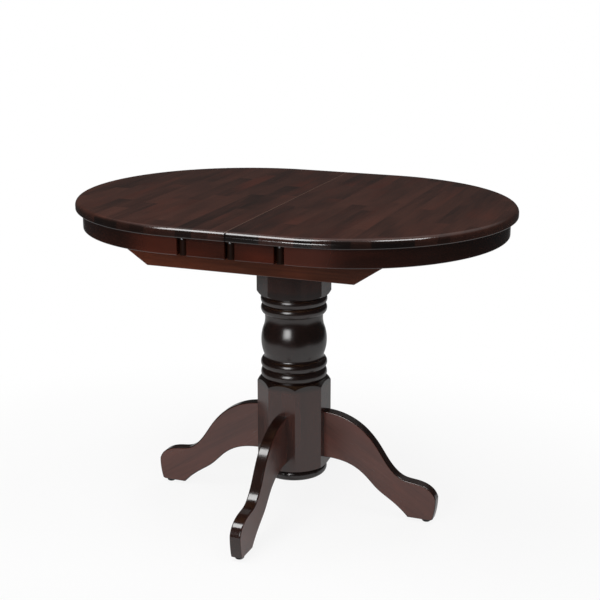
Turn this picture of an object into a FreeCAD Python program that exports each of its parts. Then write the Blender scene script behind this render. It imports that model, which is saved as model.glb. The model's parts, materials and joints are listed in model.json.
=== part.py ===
"""Butterfly leaf table: an oval pedestal table whose top parts in the middle.

Frame: +Z up, +X along the closed top's long axis, origin on the floor under the
centre of the column.  Millimetres.  Every function below makes one kind of piece,
and the last section writes one STEP file per named piece.
"""
import FreeCAD, Part
import math
import os

V = FreeCAD.Vector
X, Y, Z = V(1, 0, 0), V(0, 1, 0), V(0, 0, 1)
SIDES = {"front": -1, "back": 1}
ENDS = {"left": -1, "right": 1}

# ---- Driving dimensions ------------------------------------------------------
# The top
TABLE_HEIGHT = 762.0
TABLE_LENGTH = 1044.0
TABLE_WIDTH = 788.0
TOP_THICKNESS = 21.0
SEAM_GAP = 0.4
SEAM_CHAMFER = 1.2
EDGE_RADIUS = 11.5         # rounding of the rim's upper edge
EDGE_FOOT = 3.0            # rounding of the rim's lower edge

# Aprons, with a notch at the seam and one on either side of it
APRON_LENGTH = 1009.0
APRON_WIDTH = 742.0
APRON_STRAIGHT = 300.0
APRON_THICKNESS = 18.0
APRON_HEIGHT = 43.5
APRON_EASING = 2.0         # rounding of the aprons' lower edge, and upright at the notches
NOTCH_SPACING = 111.0
NOTCH_WIDTH = 22.0
NOTCH_RECESS = 3.5

# Blocks behind the notches, with a half-round nose that shows in each
BLOCK_HALF = 17.0
BLOCK_DEPTH = 23.0
NOSE_RADIUS = 9.0
NOSE_SCREW_DROP = 6.5      # screw below the underside of the top
SEAM_BLOCK_GAP = 0.6       # room between the seam's blocks and the right half

# Steel angles
BRACKET_LEG = 28.0
BRACKET_WIDTH = 16.0
BRACKET_THICKNESS = 2.0
BRACKET_PLACES = (56.0, 140.0)
BENT_FACE_GAP = 0.15       # room for a flat bracket against the bent face

# Frame under the top
RAIL_BOTTOM = 644.0
RAIL_TOP = 702.0
RAIL_FACE = 278.0          # outer face of each long rail, from the centre
RAIL_THICKNESS = 22.0
RAIL_FLAT = 243.0          # half length of the rail's lower edge
RAIL_LIP = 14.0            # square end above the sloping cut
RAIL_SLOPE = 54.0 / 36.0   # run over rise of the sloping cut
RAIL_EASING = 2.0          # rounding of the outer face's lower edges
DECK_THICKNESS = 18.0
DECK_RISE = 5.0            # underside of the cross-pieces above the rails' lower edge
DECK_HALF = 110.0
BEARER_PLACE = 230.0
BEARER_HALF = 15.0
TENON = 10.0
TENON_SHOULDER = 5.0
TENON_CHEEK = 4.0
FRAME_BOLT_X, FRAME_BOLT_Y = 95.0, 125.0
PLATE_HALF = 150.0
PLATE_CORNER = 25.0
PLATE_SCREW_PLACE = 45.0

# Slides: one fixed strip between two runners, on each side
TRAVEL = 245.0             # how far each half of the top slides out
STRIP_INSET = 3.0          # strip from the rail's outer flank, and below the top
STRIP_WIDTH = 24.0
STRIP_HALF = 300.0
STRIP_SCREW_PLACES = (-260.0, 0.0, 260.0)
RUNNER_WIDTH = 20.0
RUNNER_LIFT = 1.0          # runner above the rail
RUNNER_RELIEF = 1.5        # runner below the other half of the top
RUNNER_NEAR = 280.0        # reach of a runner past the seam
RUNNER_FAR = 320.0         # reach of a runner under its own half
RUNNER_SCREW_PLACES = (30.0, 120.0, 210.0, 300.0)
TONGUE_HEIGHT = 12.0
TONGUE_DEPTH = 7.8
SLIDE_GAP = 0.5
STOP_LENGTH = 8.0

# Pedestal
COLUMN_BOTTOM = 83.0
COLUMN_TOP = 625.0
OCTAGON_CORNER = 89.0
BEAD = 79.5                # greatest radius of the turned beads
NECK = 74.5                # radius at the bottom of the grooves between them
HOLLOW_FLAT = 48.0
HOLLOW_TOP = 280.0
PLUG_RADIUS = 60.0
PLUG_THICKNESS = 12.0
LEG_TURNS = {"right": 0.0, "back": 90.0, "left": 180.0, "front": 270.0}
LEG_THICKNESS = 27.0
LEG_EASING = 3.0
LEG_OVER = [(128, 242), (172, 221), (218, 174), (249, 129), (282, 103), (315, 97.5), (346, 87),
            (365, 62)]     # reach and height along the upper edge, from the column out
LEG_UNDER = [(281, 22), (251, 45), (219, 67), (188, 97), (157, 118), (125, 128)]
LEG_JOINT = (131.0, 249.0)  # heights where a leg meets the column
LEG_BOLT_HEIGHTS = (165.0, 215.0)
LEG_BOLT_LENGTH = 92.0
LEG_BOLT_TAIL = 10.0       # bolt's reach into the hollow, with the nut on it
SOLE_HEIGHT = 7.0
GLIDE_REACH = 340.0
GLIDE_RADIUS = 11.0
GLIDE_NAIL = 1.5
GLIDE_NAIL_TOP = 23.0

# The folded leaf
LEAF_WIDTH = 457.0
FELT = 1.8
FELT_HALF = (9.0, 100.0)
FELT_PLACES = (-BEARER_PLACE, -90.0, 90.0, BEARER_PLACE)
LEAF_REST = 669.0          # height of the stored leaf's underside
LEAF_FACE_GAP = 0.5
PIVOT = V(-57.125, -57.125, 0)
PIVOT_DISC = (38.0, 3.0)   # radius and thickness
PIVOT_SCREW_RING = 27.0
BUSH_BORE = 6.05
BUSH_OUTER = 8.0
BUSH_FLANGE = (12.0, 1.5)  # radius and thickness
PIN_PLACES = (-250.0, 0.0, 250.0)
PIN_RADIUS = 4.0
PIN_REACH = 12.0
PIN_SLACK = 1.5            # depth of a pin's hole past the pin
HINGE_PLACES = (-280.0, 0.0, 280.0)
HINGE_HALF = 25.0
HINGE_MIDDLE = 9.0         # half length of the middle knuckle
HINGE_WEB = 14.0
HINGE_PLATE = 1.5
HINGE_PIN = 1.2
HINGE_SCREW_PLACES = (-17.0, 17.0)
HINGE_SCREW_DROP = 9.0
KNUCKLE = 3.0
KNUCKLE_GAP = 0.3

# Locks under the seam
LOCK_PLACE = 165.0
LOCK_PIVOT_X = -28.0
LOCK_REACH = 52.0          # from a lever's rivet to the stud it hooks
LOCK_OPEN_ANGLE = 80.0
LOCK_PLATE = (20.0, 12.0, 3.0)      # half length, half width, thickness
LOCK_SCREW_PLACES = (-14.0, 14.0)
KEEPER_SPAN = (-12.0, 28.0)
KEEPER_SCREW_PLACES = (-7.5, 20.0)
LEVER_THICKNESS = 3.0
LEVER_HALF = 8.0
LEVER_TAIL = (-26.0, 11.0)          # place and radius of the thumb tail
LEVER_GAP = 0.3
RIVET_RADIUS = 3.0
RIVET_HEAD = (5.0, 2.0)             # radius and height

# Fasteners and fits: length, shank radius and head's spread of each screw
SCREWS = {
    "bracket_up": (15.0, 1.75, 2.0),
    "bracket_out": (14.0, 1.75, 2.0),
    "nose": (34.0, 1.6, 1.7),
    "strip": (60.0, 1.8, 1.8),
    "runner": (50.0, 2.0, 2.0),
    "plate": (95.0, 4.0, 2.0),
    "frame": (56.0, 4.0, 2.0),
    "hinge": (16.0, 1.4, 1.8),
    "pivot": (15.0, 1.75, 2.0),
    "lock": (14.0, 1.75, 2.0),
}
BOLT = 4.0                 # radius of the bolts with nuts
WASHER = (9.0, 1.6)        # radius and thickness
NUT = (6.5, 13.0)          # height and width across the flats
RUNNING = 0.05             # radial clearance of a turning or sliding fit
BORE = 0.05                # clearance around a screw or bolt
PAST = 1.0                 # how far a cutter runs past the face it cuts

# ---- Heights and places that follow ------------------------------------------
TOP_UNDERSIDE = TABLE_HEIGHT - TOP_THICKNESS
TOP_RADIUS = TABLE_WIDTH / 2
TOP_STRAIGHT = TABLE_LENGTH / 2 - TOP_RADIUS
APRON_BOTTOM = TOP_UNDERSIDE - APRON_HEIGHT
APRON_Z = (APRON_BOTTOM, TOP_UNDERSIDE)
INNER_FACE = APRON_WIDTH / 2 - APRON_THICKNESS
NOSE_FACE = APRON_WIDTH / 2 - NOTCH_RECESS
RAIL_INNER = RAIL_FACE - RAIL_THICKNESS
DECK_BOTTOM = RAIL_BOTTOM + DECK_RISE
DECK_TOP = DECK_BOTTOM + DECK_THICKNESS
STRIP_MID = RAIL_FACE - RAIL_THICKNESS / 2 - STRIP_INSET
STRIP_TOP = TOP_UNDERSIDE - STRIP_INSET
TONGUE_MID = (RAIL_TOP + STRIP_TOP) / 2
OUTER_RUNNER = STRIP_MID + STRIP_WIDTH / 2 + SLIDE_GAP + RUNNER_WIDTH / 2
INNER_RUNNER = STRIP_MID - STRIP_WIDTH / 2 - SLIDE_GAP - RUNNER_WIDTH / 2
OCTAGON_FLAT = OCTAGON_CORNER * math.cos(math.pi / 8)
LEAF_HALF = LEAF_WIDTH / 4
FOLD_HEIGHT = LEAF_REST + TOP_THICKNESS + LEAF_FACE_GAP / 2
LOCK_PLATE_BOTTOM = TOP_UNDERSIDE - LOCK_PLATE[2]
KEEPER_X = LOCK_PIVOT_X + LOCK_REACH


# ---- Basic shapes -------------------------------------------------------------
def box(x, y, z):
    """A block between the given (low, high) pairs."""
    return Part.makeBox(x[1] - x[0], y[1] - y[0], z[1] - z[0], V(x[0], y[0], z[0]))


def centred(x, y, half_x, half_y, z):
    """An upright block about the point (x, y)."""
    return box((x - half_x, x + half_x), (y - half_y, y + half_y), z)


def rod(radius, start, direction, length):
    return Part.makeCylinder(radius, length, start, direction)


def turn(shape, angle, centre=V(0, 0, 0), axis=Z):
    """A copy of the shape, turned about an axis."""
    copy = shape.copy()
    copy.rotate(centre, axis, angle)
    return copy


def mirror_y(shape, side):
    """The shape as drawn for the back, or its mirror image for the front."""
    return shape if side > 0 else shape.mirror(V(0, 0, 0), Y)


def path_edges(start, steps, at):
    """Edges from a start point; a 2-value step is a line, a 4-value step an arc."""
    edges = []
    here = at(*start)
    for step in steps:
        there = at(*step[-2:])
        if len(step) == 4:
            edges.append(Part.Arc(here, at(*step[:2]), there).toShape())
        else:
            edges.append(Part.LineSegment(here, there).toShape())
        here = there
    return edges


def middle_of(edge):
    return edge.valueAt((edge.FirstParameter + edge.LastParameter) / 2)


def turned(start, steps):
    """A solid of revolution about the Z axis from an (r, z) outline."""
    edges = path_edges(start, steps, lambda r, z: V(r, 0, z))
    return Part.Face(Part.Wire(edges)).revolve(V(0, 0, 0), Z, 360)


def screw(head, direction, length, radius, spread, gap=0.0):
    """A countersunk screw; with a gap it is the hole that the screw needs."""
    height = radius * (spread - 1)
    cone = Part.makeCone(radius * spread + gap, radius + gap, height, head, direction)
    return cone.fuse(rod(radius + gap, head, direction, length + gap)).removeSplitter()


def drilled(shape, places):
    """The shape without the room that the screws at these places take."""
    for place in places:
        shape = shape.cut(screw(*place, gap=BORE))
    return shape


def screws_of(places):
    return [screw(*place) for place in places]


# ---- The top and its edge -------------------------------------------------------
def edge_face(at, reach=TOP_RADIUS, under=TOP_UNDERSIDE):
    """Half cross-section of a board, from its middle to its rounded edge."""
    upper = under + TOP_THICKNESS
    widest = upper - EDGE_RADIUS
    hard = 1 - math.sqrt(0.5)
    low_mid = (reach - EDGE_FOOT * hard, under + EDGE_FOOT * hard)
    high_mid = (reach - EDGE_RADIUS * hard, upper - EDGE_RADIUS * hard)
    steps = [(reach - EDGE_FOOT, under), (*low_mid, reach, under + EDGE_FOOT), (reach, widest),
             (*high_mid, reach - EDGE_RADIUS, upper), (0, upper), (0, under)]
    return Part.Face(Part.Wire(path_edges((0, under), steps, at)))


def seam_pin_rods(radius, start, length):
    """A row of rods along X at the seam, half way up the top's edge."""
    height = TOP_UNDERSIDE + TOP_THICKNESS / 2
    return [rod(radius, V(start, y, height), X, length) for y in PIN_PLACES]


def seam_pins():
    """Wooden pins glued into the left half, reaching across the seam."""
    return seam_pin_rods(PIN_RADIUS, -PIN_REACH, 2 * PIN_REACH)


def top_half(end):
    """One half of the top: a straight stretch and a half-round end."""
    start = SEAM_GAP / 2
    section = edge_face(lambda r, z: V(start, r, z))
    straight = section.extrude(V(TOP_STRAIGHT - start, 0, 0))
    straight = straight.fuse(straight.mirror(V(0, 0, 0), Y))
    rounded = edge_face(lambda r, z: V(TOP_STRAIGHT, -r, z)).revolve(V(TOP_STRAIGHT, 0, 0), Z, 180)
    half = straight.fuse(rounded).removeSplitter()
    over = TABLE_HEIGHT + PAST
    bevel = SEAM_CHAMFER + start
    corner = [(0, over), (0, TABLE_HEIGHT - bevel), (bevel + PAST, over), (0, over)]
    wire = Part.makePolygon([V(x, -TOP_RADIUS, z) for x, z in corner])
    half = half.cut(Part.Face(wire).extrude(V(0, TABLE_WIDTH, 0)))
    half = half.cut(Part.makeCompound(seam_pin_rods(PIN_RADIUS + RUNNING, 0, PIN_REACH + PIN_SLACK)))
    half = half if end > 0 else turn(half, 180)
    return drilled(half, top_screws(end))


def top_screws(end):
    """Every screw that is driven up into one half of the top."""
    places = runner_screws(end) + bracket_screws(end, into_top=True)
    places += lock_screws() if end < 0 else keeper_screws()
    return places


# ---- The aprons -----------------------------------------------------------------
def oval_end(inset, start, z):
    """A block with a half-oval end towards +X, seen from above."""
    centre = APRON_STRAIGHT / 2
    half_width = APRON_WIDTH / 2 - inset
    reach = APRON_LENGTH / 2 - centre - inset
    oval = Part.Ellipse(V(centre, half_width, 0), V(centre + reach, 0, 0), V(centre, 0, 0))
    corners = [V(centre, -half_width, 0), V(start, -half_width, 0),
               V(start, half_width, 0), V(centre, half_width, 0)]
    outline = [Part.Arc(oval, 0, math.pi).toShape()]
    outline += [Part.LineSegment(a, b).toShape() for a, b in zip(corners, corners[1:])]
    solid = Part.Face(Part.Wire(Part.__sortEdges__(outline))).extrude(V(0, 0, z[1] - z[0]))
    solid.translate(V(0, 0, z[0]))
    return solid


def shows_on_apron(edge):
    """True for an edge of an apron's outer face that is at its foot, or upright at a notch."""
    at = middle_of(edge)
    on_straight = abs(abs(at.y) - APRON_WIDTH / 2) < 1e-3
    at_foot = abs(at.z - APRON_BOTTOM) < 1e-3 and (on_straight or at.x > APRON_STRAIGHT / 2 + 1)
    at_notch = on_straight and abs(at.x) < APRON_STRAIGHT / 2 - 1
    return at_foot or (at_notch and at.z < TOP_UNDERSIDE - 1)


def eased(board):
    """The apron with those edges rounded."""
    return board.makeFillet(APRON_EASING, [edge for edge in board.Edges if shows_on_apron(edge)])


def curved_apron(end):
    """The bent apron that follows the rounded end of one half, drilled at the left."""
    start = NOTCH_SPACING + NOTCH_WIDTH / 2
    inside = oval_end(APRON_THICKNESS, start - PAST, (APRON_BOTTOM - PAST, TOP_UNDERSIDE + PAST))
    shell = turn(eased(oval_end(0, start, APRON_Z)).cut(inside), 180)
    shell = drilled(shell, bracket_screws(ENDS["left"], into_top=False))
    return shell if end < 0 else turn(shell, 180)


def straight_apron(end, side):
    """The short straight apron between two notches."""
    x = sorted((end * NOTCH_WIDTH / 2, end * (NOTCH_SPACING - NOTCH_WIDTH / 2)))
    y = sorted((side * APRON_WIDTH / 2, side * INNER_FACE))
    return drilled(eased(box(x, y, APRON_Z)), bracket_screws(end, into_top=False))


def joint_block(x, side):
    """A glued block behind a notch, with a round-fronted nose that fills its back."""
    body = centred(x, INNER_FACE - BLOCK_DEPTH / 2, BLOCK_HALF, BLOCK_DEPTH / 2, APRON_Z)
    nose_centre = NOSE_FACE - NOSE_RADIUS
    nose = rod(NOSE_RADIUS, V(x, nose_centre, APRON_BOTTOM), Z, APRON_HEIGHT)
    neck = box((x - NOSE_RADIUS, x + NOSE_RADIUS), (INNER_FACE - PAST, nose_centre), APRON_Z)
    return mirror_y(body.fuse(neck).fuse(nose).removeSplitter(), side)


def block_screws(end):
    """Screws whose heads show at the top of each nose; the left half has the seam's."""
    places = [end * NOTCH_SPACING] + ([0.0] if end < 0 else [])
    height = TOP_UNDERSIDE - NOSE_SCREW_DROP
    return [(V(x, side * NOSE_FACE, height), V(0, -side, 0), *SCREWS["nose"])
            for x in places for side in SIDES.values()]


def outer_joint_block(end, side):
    return drilled(joint_block(end * NOTCH_SPACING, side), block_screws(end))


def seam_block(side):
    """The block at the seam: glued to the left half, just clear of the right one."""
    over = box((0, BLOCK_HALF), (-APRON_WIDTH, APRON_WIDTH),
               (TOP_UNDERSIDE - SEAM_BLOCK_GAP, TOP_UNDERSIDE))
    behind = box((NOSE_RADIUS, BLOCK_HALF), (INNER_FACE - SEAM_BLOCK_GAP, INNER_FACE), APRON_Z)
    block = joint_block(0.0, side).cut(over).cut(mirror_y(behind, side))
    return drilled(block, block_screws(ENDS["left"]))


# ---- Angle brackets that hold the aprons under the top ---------------------------
def bracket_places(end):
    """Foot of each bracket on the apron's inner face, and the way it points inwards."""
    apex = APRON_LENGTH / 2 - APRON_THICKNESS - BENT_FACE_GAP
    places = [(V(end * apex, 0, TOP_UNDERSIDE), V(-end, 0, 0))]
    for side in SIDES.values():
        for x in BRACKET_PLACES:
            places.append((V(end * x, side * INNER_FACE, TOP_UNDERSIDE), V(0, -side, 0)))
    return places


def brackets(end):
    """Steel angles, one leg on the apron and one under the top."""
    solids = []
    thick = BRACKET_THICKNESS
    outline = [(0, 0), (BRACKET_LEG, 0), (BRACKET_LEG, -thick), (thick, -thick),
               (thick, -BRACKET_LEG), (0, -BRACKET_LEG), (0, 0)]
    for foot, inward in bracket_places(end):
        along = Z.cross(inward)
        corner = foot - along * (BRACKET_WIDTH / 2)
        wire = Part.makePolygon([corner + inward * a + Z * b for a, b in outline])
        angle = Part.Face(wire).extrude(along * BRACKET_WIDTH)
        solids.append(drilled(angle, bracket_screws(end, True) + bracket_screws(end, False)))
    return solids


def bracket_screws(end, into_top):
    """One screw up into the top or out into the apron, at each bracket."""
    places = []
    reach = BRACKET_LEG * 0.6
    for foot, inward in bracket_places(end):
        if into_top:
            places.append((foot + inward * reach - Z * BRACKET_THICKNESS, Z, *SCREWS["bracket_up"]))
        else:
            head = foot + inward * BRACKET_THICKNESS - Z * reach
            places.append((head, inward * -1, *SCREWS["bracket_out"]))
    return places


# ---- Frame under the top -----------------------------------------------------------
def rail(side):
    """A long rail with sloping lower ends, mortised for the deck and the bearers."""
    shoulder = RAIL_TOP - RAIL_LIP
    reach = RAIL_FLAT + (shoulder - RAIL_BOTTOM) * RAIL_SLOPE
    points = [(-RAIL_FLAT, RAIL_BOTTOM), (RAIL_FLAT, RAIL_BOTTOM), (reach, shoulder),
              (reach, RAIL_TOP), (-reach, RAIL_TOP), (-reach, shoulder), (-RAIL_FLAT, RAIL_BOTTOM)]
    wire = Part.makePolygon([V(x, RAIL_INNER, z) for x, z in points])
    board = Part.Face(wire).extrude(V(0, RAIL_THICKNESS, 0))
    shown = [edge for edge in board.Edges
             if abs(middle_of(edge).y - RAIL_FACE) < 1e-3 and middle_of(edge).z < RAIL_TOP - 1]
    board = mirror_y(board.makeFillet(RAIL_EASING, shown), side)
    for cross_piece in (deck_blank(), bearer(ENDS["left"]), bearer(ENDS["right"])):
        board = board.cut(cross_piece)
    return drilled(board, strip_screws(side))


def tenoned(x, half):
    """A flat cross-piece with a shouldered tenon on each end."""
    reach = RAIL_INNER + TENON
    body = centred(x, 0, half, RAIL_INNER, (DECK_BOTTOM, DECK_TOP))
    tenon = centred(x, 0, half - TENON_SHOULDER, reach, (DECK_BOTTOM + TENON_CHEEK, DECK_TOP - TENON_CHEEK))
    return body.fuse(tenon).removeSplitter()


def deck_blank():
    return tenoned(0, DECK_HALF)


def deck():
    """The wide board that is bolted down on the column and carries the leaf's pivot."""
    return drilled(deck_blank().cut(rod(BUSH_OUTER, PIVOT, Z, TABLE_HEIGHT)), frame_bolts())


def bearer(end):
    return tenoned(end * BEARER_PLACE, BEARER_HALF)


def frame_bolts():
    """Countersunk bolts down through the deck and the column plate."""
    return [(V(x, y, DECK_TOP), Z * -1, *SCREWS["frame"])
            for x in (-FRAME_BOLT_X, FRAME_BOLT_X) for y in (-FRAME_BOLT_Y, FRAME_BOLT_Y)]


def plate_screws():
    """Screws down through the column plate into the column's head."""
    place = PLATE_SCREW_PLACE
    return [(V(x, y, DECK_BOTTOM), Z * -1, *SCREWS["plate"])
            for x in (-place, place) for y in (-place, place)]


def column_plate():
    """A thick square plate between the column's head and the frame."""
    plate = centred(0, 0, PLATE_HALF, PLATE_HALF, (COLUMN_TOP, DECK_BOTTOM))
    upright = [e for e in plate.Edges if abs(e.Vertexes[0].Z - e.Vertexes[1].Z) > 1]
    plate = plate.makeFillet(PLATE_CORNER, upright)
    return drilled(plate, frame_bolts() + plate_screws())


def washer_and_nut(seat, direction):
    """A washer and a hexagon nut on a bolt, from the seat outwards."""
    radius, thickness = WASHER
    height, across = NUT
    side_way = Z if abs(direction.z) < 0.5 else X
    corner = side_way * (across / 2 / math.cos(math.pi / 6))
    on_washer = seat + direction * thickness
    points = [on_washer + FreeCAD.Rotation(direction, 60.0 * index).multVec(corner) for index in range(7)]
    nut = Part.Face(Part.makePolygon(points)).extrude(direction * height)
    hole = rod(BOLT + BORE, seat - direction, direction, thickness + height + 2)
    return [rod(radius, seat, direction, thickness).cut(hole), nut.cut(hole)]


def frame_nuts():
    """Washers and nuts under the column plate."""
    solids = []
    for head, direction, *_ in frame_bolts():
        solids += washer_and_nut(V(head.x, head.y, COLUMN_TOP), direction)
    return solids


def leaf_felts():
    """Felt strips that the stored leaf slides on."""
    strips = [centred(x, 0, *FELT_HALF, (DECK_TOP, DECK_TOP + FELT)) for x in FELT_PLACES]
    around_bush = rod(BUSH_FLANGE[0] + PAST, PIVOT, Z, TABLE_HEIGHT)
    return [strip.cut(around_bush) for strip in strips]


# ---- Extension slides -----------------------------------------------------------------
def groove(side, towards, reach):
    """The room of a groove in a fixed strip, on its outer (+1) or inner (-1) flank."""
    face = STRIP_MID + towards * STRIP_WIDTH / 2
    slack = 0.4
    y = sorted((face - towards * (TONGUE_DEPTH + slack - SLIDE_GAP), face + towards * PAST))
    half = (TONGUE_HEIGHT + slack) / 2
    return mirror_y(box((-reach, reach), y, (TONGUE_MID - half, TONGUE_MID + half)), side)


def slide_strip(side):
    """The fixed middle strip of a slide, grooved on both flanks."""
    strip = mirror_y(centred(0, STRIP_MID, STRIP_HALF, STRIP_WIDTH / 2, (RAIL_TOP, STRIP_TOP)), side)
    for towards in (-1, 1):
        strip = strip.cut(groove(side, towards, STRIP_HALF + PAST))
    return drilled(strip, strip_screws(side))


def strip_screws(side):
    return [(V(x, side * STRIP_MID, STRIP_TOP), Z * -1, *SCREWS["strip"]) for x in STRIP_SCREW_PLACES]


def slide_stops():
    """Hardwood blocks that close each groove at its outer end."""
    solids = []
    for side in SIDES.values():
        for end, towards in ((-1, 1), (1, -1)):
            middle = end * (STRIP_HALF - STOP_LENGTH / 2)
            flank = centred(middle, STRIP_MID, STOP_LENGTH / 2, STRIP_WIDTH / 2, (0, TABLE_HEIGHT))
            solids.append(groove(side, towards, STRIP_HALF).common(mirror_y(flank, side)))
    return solids


def runner(end, side):
    """A runner under one half: full height there, relieved where it passes the seam."""
    towards = -end
    middle = OUTER_RUNNER if towards > 0 else INNER_RUNNER
    bottom = RAIL_TOP + RUNNER_LIFT
    own = sorted((end * 2.0, end * RUNNER_FAR))
    passing = sorted((end * 2.0, -end * RUNNER_NEAR))
    flank = (middle - RUNNER_WIDTH / 2, middle + RUNNER_WIDTH / 2)
    body = box(own, flank, (bottom, TOP_UNDERSIDE))
    body = body.fuse(box(passing, flank, (bottom, TOP_UNDERSIDE - RUNNER_RELIEF)))
    face = middle - towards * RUNNER_WIDTH / 2
    tongue_end = STRIP_HALF - STOP_LENGTH - TRAVEL - PAST
    tongue_x = sorted((end * tongue_end, -end * RUNNER_NEAR))
    tongue_y = sorted((face + towards * PAST, face - towards * TONGUE_DEPTH))
    half = TONGUE_HEIGHT / 2
    body = body.fuse(box(tongue_x, tongue_y, (TONGUE_MID - half, TONGUE_MID + half)))
    return drilled(mirror_y(body.removeSplitter(), side), runner_screws(end))


def runner_screws(end):
    """Screws from below through each runner into its own half of the top."""
    middle = OUTER_RUNNER if end < 0 else INNER_RUNNER
    height = RAIL_TOP + RUNNER_LIFT
    return [(V(end * x, side * middle, height), Z, *SCREWS["runner"])
            for x in RUNNER_SCREW_PLACES for side in SIDES.values()]


# ---- Pedestal -------------------------------------------------------------------------
def octagon(flat, z):
    """An upright octagonal block with flats square to the X and Y axes."""
    corner = flat / math.cos(math.pi / 8)
    angles = [math.pi / 8 + math.pi / 4 * index for index in range(9)]
    points = [V(corner * math.cos(a), corner * math.sin(a), z[0]) for a in angles]
    return Part.Face(Part.makePolygon(points)).extrude(V(0, 0, z[1] - z[0]))


def column():
    """Turned from an octagonal block: octagons above and below a vase and four beads."""
    wide = OCTAGON_CORNER + 5
    steps = [
        (74.0, COLUMN_BOTTOM),
        (BEAD + 1.0, 95.0, NECK + 1.5, 105.0),                  # bead at the foot
        (NECK + 1.5, 107.5), (82.0, 107.5), (wide, 113.0),
        (wide, 297.0),                                          # lower octagon
        (88.0, 317.5, 76.0, 328.0),                             # its scalloped shoulder
        (BEAD + 0.3, 340.0, NECK, 352.5),                       # two beads
        (BEAD + 0.6, 364.5, 73.5, 377.0),
        (71.6, 382.0, 72.4, 386.0),                             # vase
        (78.9, 418.0, 72.5, 455.0),
        (69.4, 471.0, 70.5, 486.0),
        (BEAD - 0.2, 498.5, NECK, 511.0),                       # two more beads
        (BEAD + 0.2, 521.5, 76.5, 532.0),
        (84.5, 536.5, wide, 553.0),                             # upper shoulder
        (wide, COLUMN_TOP), (0, COLUMN_TOP), (0, COLUMN_BOTTOM),
    ]
    body = turned((0, COLUMN_BOTTOM), steps)
    body = body.common(octagon(OCTAGON_FLAT, (COLUMN_BOTTOM, COLUMN_TOP)))
    body = body.cut(octagon(HOLLOW_FLAT, (COLUMN_BOTTOM, HOLLOW_TOP)))
    body = body.cut(rod(PLUG_RADIUS, V(0, 0, COLUMN_BOTTOM), Z, PLUG_THICKNESS))
    bolt_room = [rod(BOLT + BORE, start, way, OCTAGON_CORNER) for start, way in leg_bolt_places()]
    return drilled(body.cut(Part.makeCompound(bolt_room)), plate_screws())


def column_plug():
    """A round board that closes the hollow foot of the column."""
    return rod(PLUG_RADIUS - 2 * BORE, V(0, 0, COLUMN_BOTTOM), Z, PLUG_THICKNESS)


def leg_bolt_places():
    """Start and direction of each bolt, from inside the hollow out into a leg."""
    places = []
    for angle in LEG_TURNS.values():
        way = FreeCAD.Rotation(Z, angle).multVec(X)
        places += [(way * (HOLLOW_FLAT - LEG_BOLT_TAIL) + Z * height, way) for height in LEG_BOLT_HEIGHTS]
    return places


def leg_bolts():
    return [rod(BOLT, start, way, LEG_BOLT_LENGTH) for start, way in leg_bolt_places()]


def leg_nuts():
    """A washer and a nut on the inner end of every leg bolt."""
    solids = []
    for start, way in leg_bolt_places():
        solids += washer_and_nut(start + way * LEG_BOLT_TAIL, way * -1)
    return solids


def leg_point(reach, height):
    return V(reach, -LEG_THICKNESS / 2, height)


def smooth(points):
    """A smooth edge through the given points of a leg's outline."""
    curve = Part.BSplineCurve()
    curve.interpolate([leg_point(*point) for point in points])
    return curve.toShape()


def leg(name):
    """A flat sabre leg with an S-curved outline, drawn towards +X and turned into place."""
    low, high = LEG_JOINT
    over = [(OCTAGON_FLAT, high), *LEG_OVER]
    under = [(296, SOLE_HEIGHT), *LEG_UNDER, (OCTAGON_FLAT, low)]
    toe = [(364, 40, 358, SOLE_HEIGHT + 3), (353, SOLE_HEIGHT), under[0]]
    edges = [smooth(over), *path_edges(over[-1], toe, leg_point), smooth(under),
             *path_edges(under[-1], [over[0]], leg_point)]
    blank = Part.Face(Part.Wire(edges)).extrude(V(0, LEG_THICKNESS, 0))
    rounded = []
    for edge in blank.Edges:
        ends = [vertex.Point for vertex in edge.Vertexes]
        on_face = abs(ends[0].y - ends[-1].y) < 1e-6
        at_column = all(abs(point.x - OCTAGON_FLAT) < 1e-6 for point in ends)
        if on_face and not at_column:
            rounded.append(edge)
    blank = blank.makeFillet(LEG_EASING, rounded)
    blank = blank.cut(rod(GLIDE_NAIL + BORE, V(GLIDE_REACH, 0, 0), Z, GLIDE_NAIL_TOP + PAST))
    bolt_end = HOLLOW_FLAT - LEG_BOLT_TAIL + LEG_BOLT_LENGTH
    for height in LEG_BOLT_HEIGHTS:
        blank = blank.cut(rod(BOLT + BORE, V(0, 0, height), X, bolt_end + BORE))
    return turn(blank, LEG_TURNS[name])


def glide(name):
    """A nailed-on plastic foot with a domed underside and a small flat to stand on."""
    dome = turned((0, 0), [(6.0, 0), (9.2, 1.13, GLIDE_RADIUS, 4.0), (GLIDE_RADIUS, SOLE_HEIGHT),
                           (GLIDE_NAIL, SOLE_HEIGHT), (GLIDE_NAIL, GLIDE_NAIL_TOP),
                           (0, GLIDE_NAIL_TOP), (0, 0)])
    dome.translate(V(GLIDE_REACH, 0, 0))
    return turn(dome, LEG_TURNS[name])


# ---- The folded leaf ------------------------------------------------------------------
def leaf_board():
    """One half of the leaf, face up, with the table's own edge on both ends."""
    section = edge_face(lambda r, z: V(r, -LEAF_HALF, z), under=LEAF_REST)
    board = section.extrude(V(0, 2 * LEAF_HALF, 0))
    return board.fuse(board.mirror(V(0, 0, 0), X)).removeSplitter()


def leaf_pin_rods(radius, reach, length):
    """A row of rods into a leaf board's free edge, from the given reach inwards."""
    height = LEAF_REST + TOP_THICKNESS / 2
    return [rod(radius, V(x, LEAF_HALF + reach, height), Y * -1, length) for x in PIN_PLACES]


def flipped(shape):
    """The shape as it lies after folding over the hinge edge of the leaf."""
    return turn(shape, 180, V(0, 0, FOLD_HEIGHT), X).mirror(V(0, 0, 0), Y)


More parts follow.
